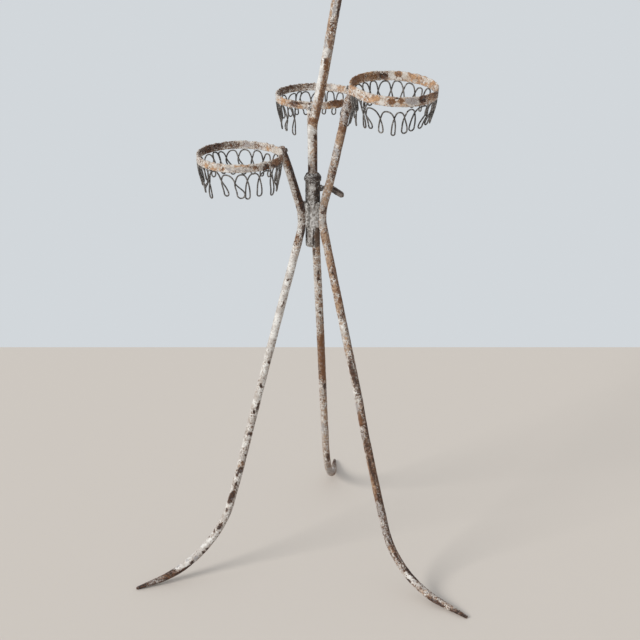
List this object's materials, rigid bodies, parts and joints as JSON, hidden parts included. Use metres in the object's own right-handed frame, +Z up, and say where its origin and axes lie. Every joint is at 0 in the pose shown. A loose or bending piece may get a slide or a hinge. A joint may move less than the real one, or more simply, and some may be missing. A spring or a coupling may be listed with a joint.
{
  "type": "birdcage plant stand",
  "caption": "Tripod stand of bent iron rods with stepped pot rings, looped-wire galleries and a height-adjustable crook pole with a hook for a hanging cage.",
  "frame": {"origin": "on the socket's axis at floor level, amid the three foot tips", "axes": "+Z up along the socket; -Y toward the viewer; the crook leans toward +X"},
  "size_m": [0.6377, 0.5993, 1.6196],
  "materials": {
    "painted_rods": "chipped cream paint over brown rust",
    "painted_pole": "chipped white paint, rust on one side",
    "painted_hub": "grey mottled old paint",
    "painted_bands": "ochre rust with remains of pale paint",
    "dark_wire": "dull dark grey",
    "bare_screw": "dull brown-grey iron"
  },
  "bodies": {
    "stand": {"rod_left": "painted_rods", "rod_right": "painted_rods", "rod_back": "painted_rods", "socket_tube": "painted_hub", "hub_welds": "painted_hub", "screw_boss": "painted_hub", "ring_band_left": "painted_bands", "ring_band_right": "painted_bands", "ring_band_back": "painted_bands", "gallery_left": "dark_wire", "gallery_right": "dark_wire", "gallery_back": "dark_wire", "band_rivets": "painted_hub"},
    "collar": {"socket_collar": "painted_hub"},
    "pole": {"crook_pole": "painted_pole"},
    "screw": {"lock_screw": "bare_screw"},
    "lever": {"lock_lever": "bare_screw"}
  },
  "joints": [
    {"name": "pole_swivel", "type": "hinge", "parent": "stand", "child": "collar", "pos_m": [0, 0, 0.787], "axis": [0, 0, 1], "continuous": true},
    {"name": "pole_height", "type": "slide", "parent": "collar", "child": "pole", "axis": [0, 0, 1], "range_m": [-0.075, 0.06]},
    {"name": "screw_travel", "type": "slide", "parent": "stand", "child": "screw", "axis": [0.866, 0.5, 0], "range_m": [0, 0.00191]},
    {"name": "lever_turn", "type": "hinge", "parent": "screw", "child": "lever", "pos_m": [0.02858, 0.0165, 0.77], "axis": [0.866, 0.5, 0], "range_deg": [0, 540]}
  ],
  "couplings": [
    {"joint": "screw_travel", "follows": "lever_turn", "m_per_rad": 0.00020213}
  ]
}
